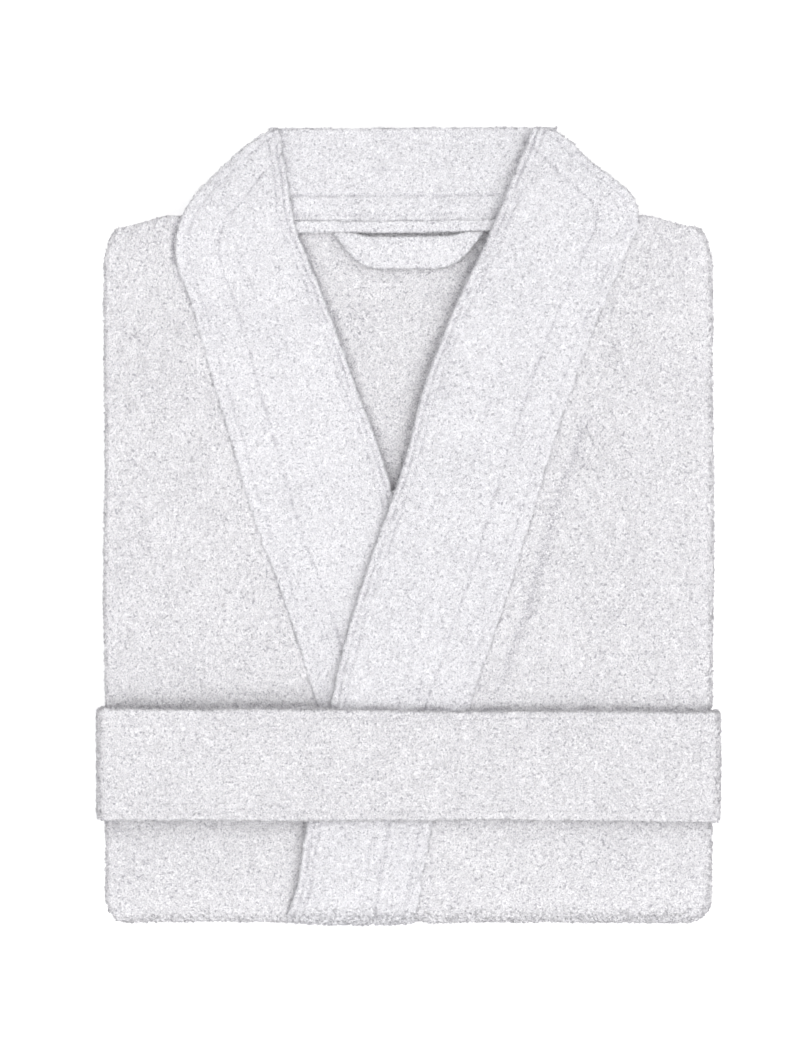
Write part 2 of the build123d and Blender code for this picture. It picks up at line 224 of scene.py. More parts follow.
def soften(p):
    """Lets the whole stack of layers settle as cloth does. Neighbours move together."""
    x, y, z = p[..., 0], p[..., 1], p[..., 2]
    stack = np.maximum(0, z - TORSO_FACE)
    up = np.clip(stack / 9.0, 0, 1)
    slow = np.stack([noise(p, 95.0, 300 + k) for k in range(3)], axis=-1)
    quick = np.stack([noise(p, 33.0, 310 + k) for k in range(3)], axis=-1)
    shift = slow * (1.2, 1.2, 0.9) + quick * (0.35, 0.4, 0.5)
    out = p + shift * np.stack((np.ones_like(up), np.ones_like(up), up), axis=-1)
    far = np.abs(x)
    side = smooth((far - 125) / 45)
    fold = smooth((-y - 178) / 42)
    out[..., 2] -= stack * EDGE_SINK * np.maximum(side, fold)
    out[..., 2] -= COLLAR_DROOP * np.maximum(0, y - 152) ** 2
    bottom = smooth((far - 140) / 26) * corner_turn((-y - 206) / 12)
    shoulder = smooth((far - 115) / 50) * corner_turn((y - SHOULDER + 23) / 23)
    out[..., 0] -= np.sign(x) * (BOTTOM_CORNER * bottom + SHOULDER_CORNER * shoulder)
    pulled = smooth((170 - far) / 40) * smooth((far - 84) / 25)
    out[..., 1] += (SHOULDER_LIFT * pulled * smooth((y - 138) / 25)
                    * (1 - smooth((y - 166) / 36)))
    return out


def corner_turn(t):
    """0 to 1 along a quarter of a circle."""
    t = np.clip(t, 0, 1)
    return 1 - np.sqrt(1 - t * t)


# ------------------------------------------------------------ profiles
class Profile:
    """A thin closed outline across the robe. Each point is on a line between the two
    edges of the piece, x0 and x1, plus a fixed step, and stands off by a half thickness."""

    def __init__(self):
        self.rows = []

    def add(self, share, step, level, off_x, off_level, seen):
        """share is 0 at x0 and 1 at x1, and seen is 1 on a face that can show."""
        self.rows.append((share, step, level, off_x, off_level, seen))

    def arrays(self):
        return np.array(self.rows).T


def spaced(length, pitch):
    return max(2, int(round(length / pitch)) + 1)


def strip_profile(levels, width, pitch, hidden_pitch, crown=0.0):
    """A flat strip with rounded edges, from x0 to x1."""
    profile = Profile()
    half = (levels[1] - levels[0]) / 2
    middle = (levels[0] + levels[1]) / 2
    count = spaced(width, pitch)
    for share in np.linspace(0, 1, count):
        inset = half * (1 - 2 * share)
        rise = crown * math.sin(math.pi * share) ** 0.5 if 0 < share < 1 else 0
        profile.add(share, inset, middle, 0, half + rise, 1)
    for angle in np.linspace(math.pi / 2, -math.pi / 2, 7)[1:-1]:
        profile.add(1, -half, middle, half * math.cos(angle), half * math.sin(angle), 1)
    for share in np.linspace(1, 0, spaced(width, hidden_pitch)):
        profile.add(share, half * (1 - 2 * share), middle, 0, -half, 0)
    for angle in np.linspace(-math.pi / 2, -math.pi * 1.5, 7)[1:-1]:
        profile.add(0, half, middle, half * math.cos(angle), half * math.sin(angle), 1)
    return profile.arrays()


def wrap_profile(levels, wing, width, pitch, hidden_pitch, wing_pitch, reach):
    """Cloth from x0 to the side fold x1, round it, and back under by reach."""
    profile = Profile()
    half = (levels[1] - levels[0]) / 2
    middle = (levels[0] + levels[1]) / 2
    below = (wing[0] + wing[1]) / 2
    radius = (middle - below) / 2
    centre = (middle + below) / 2
    turns = np.linspace(math.pi / 2, -math.pi / 2, spaced(math.pi * radius, pitch * 1.3))

    def walk(sign, top_pitch, low_pitch, seen):
        points = []
        for share in np.linspace(0, 1, spaced(width, top_pitch)):
            step = half * (1 - share) - (radius + half) * share
            points.append((share, step, middle, 0, sign * half, seen))
        for angle in turns[1:-1]:
            points.append((1, -radius - half + radius * math.cos(angle),
                           centre + radius * math.sin(angle),
                           sign * half * math.cos(angle), sign * half * math.sin(angle), seen))
        for share in np.linspace(0, 1, spaced(reach, low_pitch)):
            points.append((1, -radius - half - share * reach, below, 0, -sign * half, seen))
        return points

    outer = walk(1, pitch, wing_pitch, 1)
    inner = walk(-1, hidden_pitch, hidden_pitch, 0)
    for row in outer:
        profile.add(*row)
    for angle in np.linspace(-math.pi / 2, -math.pi * 1.5, 6)[1:-1]:
        profile.add(1, -radius - half - reach, below,
                    half * math.cos(angle), half * math.sin(angle), 1)
    for row in reversed(inner):
        profile.add(*row)
    for angle in np.linspace(-math.pi / 2, -math.pi * 1.5, 6)[1:-1]:
        profile.add(0, half, middle, half * math.cos(angle), half * math.sin(angle), 1)
    return profile.arrays()


# ------------------------------------------------------------ meshes
def new_mesh(name, points, quads, tris=None, press_shade=None):
    """A smooth mesh object from points in millimetres. Its last argument is how far the pile is
    pressed down at each point, as by a row of stitching; the material darkens the colour by it, as
    painted shade."""
    tris = np.zeros((0, 3), int) if tris is None else tris
    loops = np.concatenate((quads.ravel(), tris.ravel())).astype(np.int32)
    starts = np.concatenate((np.arange(len(quads)) * 4, len(quads) * 4 + np.arange(len(tris)) * 3))
    mesh = bpy.data.meshes.new(name)
    mesh.vertices.add(len(points))
    mesh.vertices.foreach_set("co", (points * MM).astype(np.float32).ravel())
    mesh.loops.add(len(loops))
    mesh.loops.foreach_set("vertex_index", loops)
    mesh.polygons.add(len(starts))
    mesh.polygons.foreach_set("loop_start", starts.astype(np.int32))
    mesh.polygons.foreach_set("use_smooth", np.ones(len(starts), bool))
    mesh.update(calc_edges=True)
    if press_shade is not None:
        layer = mesh.attributes.new("press_shade", "FLOAT", "POINT")
        layer.data.foreach_set("value", press_shade.astype(np.float32).ravel())
    mesh.validate()
    obj = bpy.data.objects.new(name, mesh)
    bpy.context.collection.objects.link(obj)
    return obj


def end_cap(ring):
    """Triangles that close a thin outline, zipped up from its first and last points."""
    a, b = 0, len(ring) - 1
    faces = []
    while b - a > 1:
        if b - a == 2 or np.sum((ring[a + 1] - ring[b]) ** 2) <= np.sum((ring[b - 1] - ring[a]) ** 2):
            faces.append((b, a, a + 1))
            a += 1
        else:
            faces.append((b, a, b - 1))
            b -= 1
    return np.array(faces)


LOOP_HEIGHT = 1.25          # of the tallest loops of yarn at an edge
YARN_RADIUS = 0.2


def edge_loops(p, n, seed, density, low_z):
    """Small loops of yarn that stand off a piece's edges, as closed three-sided tubes.
    p and n are a grid of points on the piece and the normals there."""
    rng = np.random.default_rng(seed)
    along_s = np.gradient(p, axis=0)
    along_c = np.gradient(p, axis=1)
    cell = np.minimum(np.linalg.norm(np.cross(along_s, along_c), axis=-1), 3.0)
    steep = smooth((0.9 - n[..., 2]) / 0.25) * (n[..., 2] > -0.5)
    chosen = rng.random(cell.shape) < cell * density * steep * (p[..., 2] > low_z)
    p, n = p[chosen], n[chosen]
    count = len(p)
    n = n + rng.normal(0, 0.35, (count, 3))
    n /= np.linalg.norm(n, axis=1, keepdims=True)
    t = np.cross(n, rng.normal(0, 1, (count, 3)))
    t /= np.linalg.norm(t, axis=1, keepdims=True)
    side = np.cross(n, t)
    span = rng.uniform(0.35, 0.75, (count, 1, 1, 1))
    rise = rng.uniform(0.55, 1.0, (count, 1, 1, 1)) * LOOP_HEIGHT
    lean = rng.uniform(-0.4, 0.4, (count, 1, 1, 1))
    u = np.linspace(0, math.pi, 5)[None, :, None, None]
    phi = (np.arange(3) * 2 * math.pi / 3)[None, None, :, None]
    t, n, side, p = (v[:, None, None, :] for v in (t, n, side, p))
    centre = p + t * span * np.cos(u) + n * (rise * np.sin(u) - 0.3) + side * lean * np.sin(u)
    outward = t * np.cos(u) + n * np.sin(u)
    tube = centre + YARN_RADIUS * (side * np.cos(phi) + outward * np.sin(phi))
    base = (np.arange(count) * 15)[:, None, None]
    ring = (np.arange(4) * 3)[None, :, None]
    k = np.arange(3)[None, None, :]
    after = (k + 1) % 3
    quads = np.stack(np.broadcast_arrays(base + ring + k, base + ring + 3 + k,
                                         base + ring + 3 + after, base + ring + after), axis=-1)
    first = base[:, 0, 0]
    tris = np.concatenate((np.stack((first, first + 1, first + 2), axis=-1),
                           np.stack((first + 14, first + 13, first + 12), axis=-1)))
    return tube.reshape(-1, 3), quads.reshape(-1, 4), tris


def with_loops(points, quads, tris, press_shade, extra):
    """A piece's points and faces, with its loops of yarn added at the end."""
    more, more_quads, more_tris = extra
    start = len(points)
    return (np.concatenate((points, more)), np.concatenate((quads, more_quads + start)),
            np.concatenate((tris, more_tris + start)),
            np.concatenate((press_shade.ravel(), np.zeros(len(more)))))


def normals_of(p):
    """Unit normals of a grid of points that is closed along its second axis."""
    along_s = np.gradient(p, axis=0)
    along_c = np.roll(p, -1, axis=1) - np.roll(p, 1, axis=1)
    n = np.cross(along_s, along_c)
    return n / np.maximum(1e-9, np.linalg.norm(n, axis=-1, keepdims=True))


def grid_quads(rows, cols):
    """The faces of a grid of points that is closed along its second axis."""
    i, j = np.meshgrid(np.arange(rows - 1), np.arange(cols), indexing="ij")
    k = (j + 1) % cols
    return np.stack((i * cols + j, i * cols + k, (i + 1) * cols + k, (i + 1) * cols + j),
                    axis=-1).reshape(-1, 4)


def quads_disagree(quads, cap, cols):
    """Whether a cap's triangles run the same way along the rim as the quads beside it."""
    rim = {(int(q[a]), int(q[(a + 1) % 4])) for q in quads[:cols] for a in range(4)
           if q[a] < cols and q[(a + 1) % 4] < cols}
    b, a, c = (int(v) for v in cap[0])
    return (a, c) in rim or (b, a) in rim or (c, b) in rim


def volume(p, quads):
    """Six times the volume inside a closed skin of quads, negative if it is inside out."""
    a, b, c, d = (p[quads[:, k]] for k in range(4))
    return np.sum(np.cross(a, b) * c) + np.sum(np.cross(a, c) * d)


def raise_pile(name, flat, body, n, quads, weight, cut, capped, seed, fuzz, low_z):
    """The finished mesh of a cloth piece. flat is its grid of points before it settles,
    and body after it; cut is how far the pile is drawn in, as by a row of stitching."""
    swollen = body + 0.01 * n
    if abs(volume(swollen.reshape(-1, 3), quads)) < abs(volume(body.reshape(-1, 3), quads)):
        n = -n
    # How far the pile is pressed in. It also darkens the colour there, painted shade in stitch
    # grooves and beside edges.
    press_shade = np.clip(-cut / 1.1, 0, 1)
    height = pile(flat, seed) * weight * (1 - 0.6 * press_shade) + cut
    body = body + n * height[..., None]
    points = body.reshape(-1, 3)
    rows, cols = flat.shape[:2]
    tris = np.zeros((0, 3), int)
    if capped:
        cap = end_cap(flat[0])
        tris = np.concatenate((cap, cap[:, ::-1] + (rows - 1) * cols))
        if quads_disagree(quads, cap, cols):
            tris = tris[:, ::-1]
    if volume(points, quads) < 0:
        quads, tris = quads[:, ::-1], tris[:, ::-1]
    if fuzz:
        loops = edge_loops(body, n, seed, fuzz, low_z)
        points, quads, tris, press_shade = with_loops(points, quads, tris, press_shade, loops)
    return new_mesh(name, points, quads, tris, press_shade)


def end_rounding(s, radius):
    """How thick the cloth is near its two ends, as a share: it is rounded off there."""
    gap = np.minimum(s - s[0], s[-1] - s)
    t = np.clip(1 - gap / radius, 0, 1)
    return np.maximum(0.18, np.sqrt(1 - t * t))


def rows_between(start, end, pitch, radius=1.3):
    """Stations along the robe, closer together at the two rounded ends."""
    ends = np.array([0, 0.12, 0.4, 0.8]) * radius
    inside = np.linspace(start + radius, end - radius, spaced(end - start, pitch))
    return np.concatenate((start + ends, inside, end - ends[::-1]))


def sweep(name, s, profile, x0, x1, seed, amount=1.0, grooves=None, fuzz=0.0):
    """Sweeps a profile along the robe. x0 and x1 are the piece's two edges at each s."""
    share, step, level, off_x, off_level, seen = profile
    side = np.sign(np.mean(x1 - x0))
    full = end_rounding(s, 1.3)[:, None]
    x = x0[:, None] * (1 - share) + x1[:, None] * share + side * (step + full * off_x)
    lev = level + full * off_level
    flat = place(x, lev, s[:, None])
    body = soften(flat)
    cut = 0 * flat[..., 0]
    if grooves is not None:
        cut = grooves(x, x0[:, None], x1[:, None], flat) * seen
    obj = raise_pile(name, flat, body, normals_of(body), grid_quads(len(s), len(share)),
                     (0.35 + 0.65 * seen) * amount, cut, True, seed, fuzz, FOLD_Z)
    edge = np.linalg.norm(np.diff(flat, axis=0, append=flat[-1:]), axis=-1)
    across = np.linalg.norm(np.roll(flat, -1, axis=1) - flat, axis=-1)
    width = across.sum(axis=1) / 2
    run = edge[:, seen > 0].mean(axis=1)
    area = float((width * run).sum())
    flat_size = (float(width.max()) * MM, float(run.sum()) * MM)
    return obj, flat_size, min(area * MM * MM, flat_size[0] * flat_size[1])


def along_y(outline, y):
    """A smooth curve through an outline's points, as x at y."""
    ys, xs = np.array(outline, float).T
    slopes = np.gradient(xs, ys)
    k = np.clip(np.searchsorted(ys, y) - 1, 0, len(ys) - 2)
    h = ys[k + 1] - ys[k]
    t = np.clip((y - ys[k]) / h, 0, 1)
    return ((1 + 2 * t) * (1 - t) ** 2 * xs[k] + t * (1 - t) ** 2 * h * slopes[k]
            + t * t * (3 - 2 * t) * xs[k + 1] + t * t * (t - 1) * h * slopes[k + 1])


# ------------------------------------------------------------ materials
def node_material(name):
    material = bpy.data.materials.new(name)
    material.use_nodes = True
    tree = material.node_tree
    for node in list(tree.nodes):
        tree.nodes.remove(node)
    out = tree.nodes.new("ShaderNodeOutputMaterial")
    shader = tree.nodes.new("ShaderNodeBsdfPrincipled")
    tree.links.new(shader.outputs[0], out.inputs[0])
    return material, tree, shader


def math_node(tree, operation, a, b=None, clamp=False):
    node = tree.nodes.new("ShaderNodeMath")
    node.operation = operation
    node.use_clamp = clamp
    for socket, value in zip(node.inputs, (a, b)):
        if value is None:
            continue
        if isinstance(value, (int, float)):
            socket.default_value = value
        else:
            tree.links.new(value, socket)
    return node.outputs[0]


def noise_node(tree, coords, per_mm, detail=1.0, distortion=0.0):
    node = tree.nodes.new("ShaderNodeTexNoise")
    node.inputs["Scale"].default_value = per_mm / MM
    node.inputs["Detail"].default_value = detail
    node.inputs["Distortion"].default_value = distortion
    tree.links.new(coords, node.inputs["Vector"])
    return node.outputs["Fac"]


def ridge(tree, value, sharpness):
    """1 along the lines where a noise crosses its middle, falling off beside them."""
    away = math_node(tree, "ABSOLUTE", math_node(tree, "SUBTRACT", value, 0.5))
    return math_node(tree, "SUBTRACT", 1.0, math_node(tree, "MULTIPLY", away, sharpness), True)


def terry(name, hollow, crest, loop_size, relief):
    """Looped cotton: short curly loops with a soft sheen. The dark colour in the gaps between them is
    painted shade, standing for the shadows the loops cast on each other.
    """
    material, tree, shader = node_material(name)
    coords = tree.nodes.new("ShaderNodeTexCoord").outputs["Object"]
    loops = ridge(tree, noise_node(tree, coords, 1 / loop_size, 0.0, 0.7), 6.5)
    curls = ridge(tree, noise_node(tree, coords, 1.6 / loop_size, 0.0, 0.5), 6.0)
    fibre = noise_node(tree, coords, 4.0 / loop_size, 1.0)
    # Painted shade: this noise darkens the deepest gaps between the loops.
    deep_gap_noise = noise_node(tree, coords, 0.62 / loop_size, 0.0)
    gap = math_node(tree, "MULTIPLY", math_node(tree, "SUBTRACT", deep_gap_noise, 0.60), 5.0, True)
    patches = noise_node(tree, coords, 1 / 24.0, 2.0)
    height = math_node(tree, "ADD", math_node(tree, "MULTIPLY", loops, 0.55),
                       math_node(tree, "MULTIPLY", curls, 0.45))
    shade = math_node(tree, "ADD", height, math_node(tree, "MULTIPLY", fibre, 0.2))
    shade = math_node(tree, "ADD", shade, math_node(tree, "MULTIPLY", patches, 0.16))
    shade = math_node(tree, "SUBTRACT", shade, math_node(tree, "MULTIPLY", gap, 0.45))
    # Painted shade: the colour is darkened where the pile is pressed in, in stitch grooves and along
    # the hollows beside edges.
    press_shade = tree.nodes.new("ShaderNodeAttribute")
    press_shade.attribute_name = "press_shade"
    shade = math_node(tree, "SUBTRACT", shade, math_node(tree, "MULTIPLY", press_shade.outputs["Fac"], 0.30))
    # Painted shade: the ramp runs from the dark colour of the gaps between the loops to the light
    # colour of their tops.
    ramp = tree.nodes.new("ShaderNodeValToRGB")
    ramp.color_ramp.elements[0].position = 0.0
    ramp.color_ramp.elements[0].color = (*hollow, 1)
    ramp.color_ramp.elements[1].position = 0.82
    ramp.color_ramp.elements[1].color = (*crest, 1)
    tree.links.new(shade, ramp.inputs[0])
    tree.links.new(ramp.outputs[0], shader.inputs["Base Color"])
    bump = tree.nodes.new("ShaderNodeBump")
    bump.inputs["Strength"].default_value = relief
    bump.inputs["Distance"].default_value = 0.6 * MM
    tree.links.new(height, bump.inputs["Height"])
    tree.links.new(bump.outputs[0], shader.inputs["Normal"])
    shader.inputs["Roughness"].default_value = 0.95
    shader.inputs["Specular IOR Level"].default_value = 0.15
    shader.inputs["Sheen Weight"].default_value = 0.1
    shader.inputs["Sheen Roughness"].default_value = 0.6
    return material


# Painted shade: the first colour of each terry below is the dark of the gaps between loops, where
# their shadows fall.
LOOP_GAP_SHADE = (0.40, 0.39, 0.43)
CREST = (0.99, 0.98, 1.0)
BODY_TERRY = terry("body_terry", LOOP_GAP_SHADE, CREST, 0.9, 0.9)
BAND_TERRY = terry("band_terry", (0.42, 0.41, 0.45), (0.955, 0.95, 0.975), 0.85, 0.8)
BELT_TERRY = terry("belt_terry", LOOP_GAP_SHADE, CREST, 0.9, 0.9)


# ------------------------------------------------------------ dressing a piece
def dress(obj, material, node):
    obj.data.materials.append(material)
    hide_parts(node)


def turn_with(obj, fold):
    """Puts a piece on its fold's body if the frame has one, and otherwise bakes its transform into
    its mesh.
    """
    if fold in frame["bodies"]:
        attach(obj, fold)
    elif fold == "bottom":
        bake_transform(obj)
    else:
        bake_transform(obj)


def groove_rows(places, depth=1.15, wide=0.85):
    """Rows of stitching that draw the cloth in, at distances from the inner edge (+)
    or from the seam (-). Their depth also darkens the colour, painted shade in the grooves."""
    def cut(x, x0, x1, p):
        total = np.zeros(np.broadcast(x, x0).shape)
        wander = 0.5 * noise(p, 15.0, 501)
        for k, (place_mm, strength) in enumerate(places):
            d = np.abs(x - (x0 if place_mm >= 0 else x1)) + wander
            pull = strength * depth * (0.75 + 0.7 * noise(p, 5.5, 503 + k))
            total -= pull * np.exp(-((d - abs(place_mm)) / wide) ** 2)
        return total + belt_press(p)
    return cut


def press_line(away, p, seed, reach=2.2):
    """A mottled hollow along a line, at a distance away from it. Its depth also darkens the colour, a
    painted shadow along the line.
    """
    mottle = np.clip(0.65 + 1.1 * noise(p, 4.5, seed) + 0.5 * noise(p, 2.0, seed + 1), 0, 2)
    return -0.7 * mottle * np.exp(-((away - 0.8) / reach) ** 2)


def belt_press(p):
    """The hollow along the belt's upper edge, on the front's top side, darkened in colour as the
    painted shadow of the belt's edge.
    """
    return press_line(p[..., 1] - BELT_Y[1], p, 541, 1.8) * (p[..., 2] > TORSO_FACE - 1)


def fold_swing(s, reach):
    """How far the overlapping front swings to one side as it goes over the bottom fold."""
    return reach * smooth((s + 4) / 30) * (1 - smooth((s - 34) / 26))


BAND_ROWS = ((3.6, 0.9), (7.4, 0.7), (37.0, 0.3), (-24.0, 0.8), (-7.0, 0.55))


SEAM_RUN = 12.0          # how far a piece goes on past a fold before the next one starts


def torso_rows(top, pitch):
    """Stations from a torso piece's top end, round the bottom fold and on under it."""
    return rows_between(FOLD_Y - top, UPPER_START + SEAM_RUN, pitch)


# ------------------------------------------------------------ torso
def make_front(name, side, seam, skirt_x, levels, seed):
    s = torso_rows(SHOULDER - 0.5, 1.0)
    y = np.clip(FOLD_Y - s, FOLD_Y, SHOULDER)
    x0 = along_y(seam, y) - side * 3.0 - (side > 0) * fold_swing(s, 4.0)
    x1 = np.full_like(y, side * HALF_WIDTH)
    profile = wrap_profile(levels, WING_FRONT, HALF_WIDTH - abs(skirt_x) + 12, 1.0, 9, 4,
                           HALF_WIDTH - CHANNEL - 16)

    def relief(x, x0_, x1_, p):
        """The panel puffs up beside its seam with the collar band, and dips at the top. The dips, a
        crease and the hollow by the belt also darken the colour there, as painted shade.
        """
        from_seam = np.abs(x - x0_) - 3.0
        dip = smooth((y[:, None] - 105) / 35) * (side < 0)
        mottle = 0.7 + 0.8 * noise(p, 6.0, 521)
        total = (1 - dip) * 0.8 * mottle * np.exp(-((from_seam - 1.5) / 5.0) ** 2)
        total -= dip * 1.2 * mottle * np.exp(-((from_seam - 1.2) / 1.7) ** 2)
        crease = 97 + (y[:, None] - 58) * 0.313 + 2.5 * noise(p, 40.0, 523)
        here = smooth((y[:, None] + 100) / 25) * smooth((75 - y[:, None]) / 30) * (side > 0)
        return total - 0.8 * here * np.exp(-((x - crease) / 3.2) ** 2) + belt_press(p)

    obj, flat, area = sweep(name + "_terry", s, profile, x0, x1, seed, 1.0, relief, 0.35)
    dress(obj, BODY_TERRY, name)
    turn_with(obj, "bottom")


def edge_wander(s, seed, amount=1.0):
    """How a soft edge strays from its line."""
    p = np.stack((s, 0 * s + 0.37, 0 * s), axis=-1)
    return amount * (0.55 * noise(p, 11.0, seed) + 0.4 * noise(p, 4.0, seed + 3))


def make_collar_band(name, inner, seam, levels, seed):
    s = torso_rows(COLLAR_TOP - 0.5, 0.78)
    y = np.clip(FOLD_Y - s, FOLD_Y, COLLAR_TOP)
    side = 1 if seam[-1][1] > 0 else -1
    top = corner_turn((y - COLLAR_TOP + 5.0) / 4.5)
    x0 = along_y(inner, y) + side * 1.2 * top + edge_wander(s, seed, 0.6)
    x1 = along_y(seam, y) - side * 2.0 * top + edge_wander(s, seed + 1)
    if side > 0:
        x0, x1 = x0 - fold_swing(s, 7.0), x1 - fold_swing(s, 4.0)
    profile = strip_profile(levels, 78, 0.75, 8, 0.25)
    obj, flat, area = sweep(name + "_terry", s, profile, x0, x1, seed, grooves=groove_rows(BAND_ROWS),
                            fuzz=0.5)
    dress(obj, BAND_TERRY, name)
    turn_with(obj, "bottom")


def back_profile(dense_from, dense_to, pitch, sparse):
    """The back's outline: both sides folded in under it, finer between dense_from and dense_to."""
    half = (BACK[1] - BACK[0]) / 2
    middle = (BACK[0] + BACK[1]) / 2
    below = (WING_BACK[0] + WING_BACK[1]) / 2
    radius = (middle - below) / 2
    centre = (middle + below) / 2
    turn_x = HALF_WIDTH - CLOTH - GAP - half - radius
    reach = turn_x - CHANNEL - 4
    top = np.concatenate((np.arange(-turn_x, dense_from, sparse),
                          np.arange(dense_from, dense_to, pitch),
                          np.arange(dense_to, turn_x - 1, sparse), [turn_x]))
    wing = np.linspace(0, 1, spaced(reach, sparse))

    def side_fold(x, start, end):
        turn = np.linspace(start, end, 9)[1:-1]
        return [(x + radius * math.cos(a), centre + radius * math.sin(a), math.cos(a), math.sin(a))
                for a in turn]

    line = [(-turn_x + (1 - t) * reach, below, 0, -1) for t in wing]
    line += side_fold(-turn_x, -math.pi / 2, -math.pi * 1.5)
    line += [(x, middle, 0, 1) for x in top]
    line += side_fold(turn_x, math.pi / 2, -math.pi / 2)
    line += [(turn_x - t * reach, below, 0, -1) for t in wing]
    profile = Profile()
    for x, lev, nx, nl in line:
        profile.add(0.5, x, lev, nx * half, nl * half, 1)
    inner = line[::-1]
    keep = [q for k, q in enumerate(inner) if k % 3 == 0 or k == len(inner) - 1]
    for x, lev, nx, nl in keep:
        profile.add(0.5, x, lev, -nx * half, -nl * half, 0)
    return profile.arrays()


def make_back():
    dense_y = np.arange(SHOULDER - 1.3, 0, -0.85)
    sparse_y = np.arange(-2, FOLD_Y, -5.0)
    ends = SHOULDER - np.array([0, 0.16, 0.52, 1.0])
    turn = np.linspace(0, UPPER_START + SEAM_RUN, 30)
    s = np.concatenate((FOLD_Y - ends, FOLD_Y - dense_y, FOLD_Y - sparse_y, turn))
    make_back_piece("back_panel", s, back_profile(-76, 62, 0.85, 5.0), "bottom",
                    grooves=lambda x, x0, x1, p: lapel_press(p))


def lapel_press(p):
    """The hollows beside both lapels' inner edges, inside the V, darkened in colour as the painted
    shadow of the lapels' edges.
    """
    y = np.clip(p[..., 1], 0, COLLAR_TOP)
    left = press_line(p[..., 0] - along_y(UNDER_INNER, y), p, 551)
    right = press_line(along_y(OVER_INNER, y) - p[..., 0], p, 553)
    return (left + right) * (p[..., 1] > 5) * (p[..., 2] > TORSO_FACE)


def make_back_piece(name, s, profile, fold, amount=1.0, grooves=None):
    zero = np.zeros_like(s)
    obj, flat, area = sweep(name + "_terry", s, profile, zero - 1, zero + 1, 71, amount, grooves)
    dress(obj, BODY_TERRY, name)
    turn_with(obj, fold)


def make_neck_band():
    low = corner("neck_band", 0)[1]
    s = rows_between(FOLD_Y - COLLAR_TOP, FOLD_Y - low, 0.8, 1.6)
    y = FOLD_Y - s
    x0 = along_y(UNDER_INNER, y) - 6
    x1 = along_y(OVER_INNER, y) + 14
    levels = (UNDER_BAND[0] - 0.2, UNDER_BAND[1] - 2.1)
    profile = strip_profile(levels, 150, 0.8, 8)

    def seam_rows(x, x0_, x1_, p):
        yy = y[:, None] + 0 * x
        mottle = 0.8 + 0.6 * noise(p, 6.0, 531)
        upper_row = np.exp(-((yy - 181) / 1.0) ** 2)
        lower_row = np.exp(-((yy - low - 4) / 1.2) ** 2)
        # The seam rows and the hollows beside the lapels also darken the colour, as painted shade.
        return lapel_press(p) - mottle * (upper_row + 0.5 * lower_row)

    obj, flat, area = sweep("neck_band_terry", s, profile, x0, x1, 83, grooves=seam_rows, fuzz=0.5)
    dress(obj, BAND_TERRY, "neck_band")
    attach(obj, "torso")
    make_tape()


# ------------------------------------------------------------ sleeves, tape and loop
SLEEVE_TOP = corner("left_sleeve", 1)[2] - TORSO_FACE
SLEEVE_LOW = corner("left_sleeve", 0)[2] - TORSO_FACE


def make_sleeve_part(node, side, pitch, material, seed):
    """A sleeve or its cuff: a flat tube, made as cloth folded over and meeting itself."""
    middle = (SLEEVE_TOP + SLEEVE_LOW) / 2
    low, high = corner(node, 0), corner(node, 1)
    s = rows_between(FOLD_Y - high[1], FOLD_Y - low[1], pitch)
    inner = np.full_like(s, side * CHANNEL)
    outer = np.full_like(s, side * max(abs(low[0]), abs(high[0])))
    width = abs(outer[0] - inner[0])
    profile = wrap_profile((middle, SLEEVE_TOP), (SLEEVE_LOW, middle), width, pitch, 12, pitch,
                           width - CLOTH * 2)
    obj, flat, area = sweep(node + "_terry", s, profile, inner, outer, seed, 0.5)
    dress(obj, material, node)
    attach(obj, "torso")


def make_tape():
    """The covered seam below the neck band, and the narrow roll of cloth over it."""
    low, high = corner("neck_tape", 0), corner("neck_tape", 1)
    s = rows_between(FOLD_Y - high[1] - 0.8, FOLD_Y - 160.2, 0.7, 1.2)
    profile = strip_profile((low[2] - TORSO_FACE, low[2] - TORSO_FACE + 3.2), 132, 0.8, 6)
    obj, _, _ = sweep("neck_tape_terry", s, profile, np.full_like(s, low[0] - 12),
                      np.full_like(s, high[0] + 6), 91, 0.8, fuzz=0.4)
    dress(obj, BAND_TERRY, "neck_tape")
    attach(obj, "torso")
    return obj


def make_loop():
    """The hanging loop: a doubled strip that hangs from the neck seam in a shallow bowl."""
    low, high = corner("hanger_loop", 0), corner("hanger_loop", 1)
    end = high[0] + 4.0
    x = np.linspace(-end, end, 150)
    away = np.abs(x)
    low_edge = low[1] - 0.1 + 8.2 * np.maximum(0, (away - 14) / 18) ** 2.2
    high_edge = 157.9 + 2.4 * smooth((away - 20) / 14)
    low_edge = np.minimum(low_edge, high_edge - 0.6)
    base = low[2] - 0.2
    half = (high[2] - base) / 2
    ring = [(v, 1.0) for v in np.linspace(-1, 1, 24)]
    ring += [(1, math.cos(a)) for a in (0.5, 1.0, math.pi / 2, 2.2)]
    ring += [(v, -1.0) for v in np.linspace(1, -1, 12)]
    ring += [(-1, -math.cos(a)) for a in (0.9, math.pi / 2, 2.1, 2.6)]
    across = np.array([v for v, h in ring])
    height = np.array([h for v, h in ring])
    bulge = np.sign(across) * np.sqrt(np.maximum(0, 1 - height ** 2)) * (np.abs(across) > 0.999)
    full = end_rounding(np.linspace(0, 2 * end, len(x)), 3.0)[:, None]
    middle = (low_edge + high_edge)[:, None] / 2
    reach = (high_edge - low_edge)[:, None] / 2
    inset = np.minimum(1.1, reach * 0.8)
    y = middle + across * (reach - inset) + bulge * inset
    z = base + half + height * half * full + 0.35 * (1 - across ** 2) * (height > 0) * full
    flat = np.stack(np.broadcast_arrays(x[:, None], y, z), axis=-1)
    sheet_from_rings("hanger_loop_terry", flat, 97, 0.8, BAND_TERRY, "hanger_loop",
                     "loop", 0.6, fuzz=0.5)


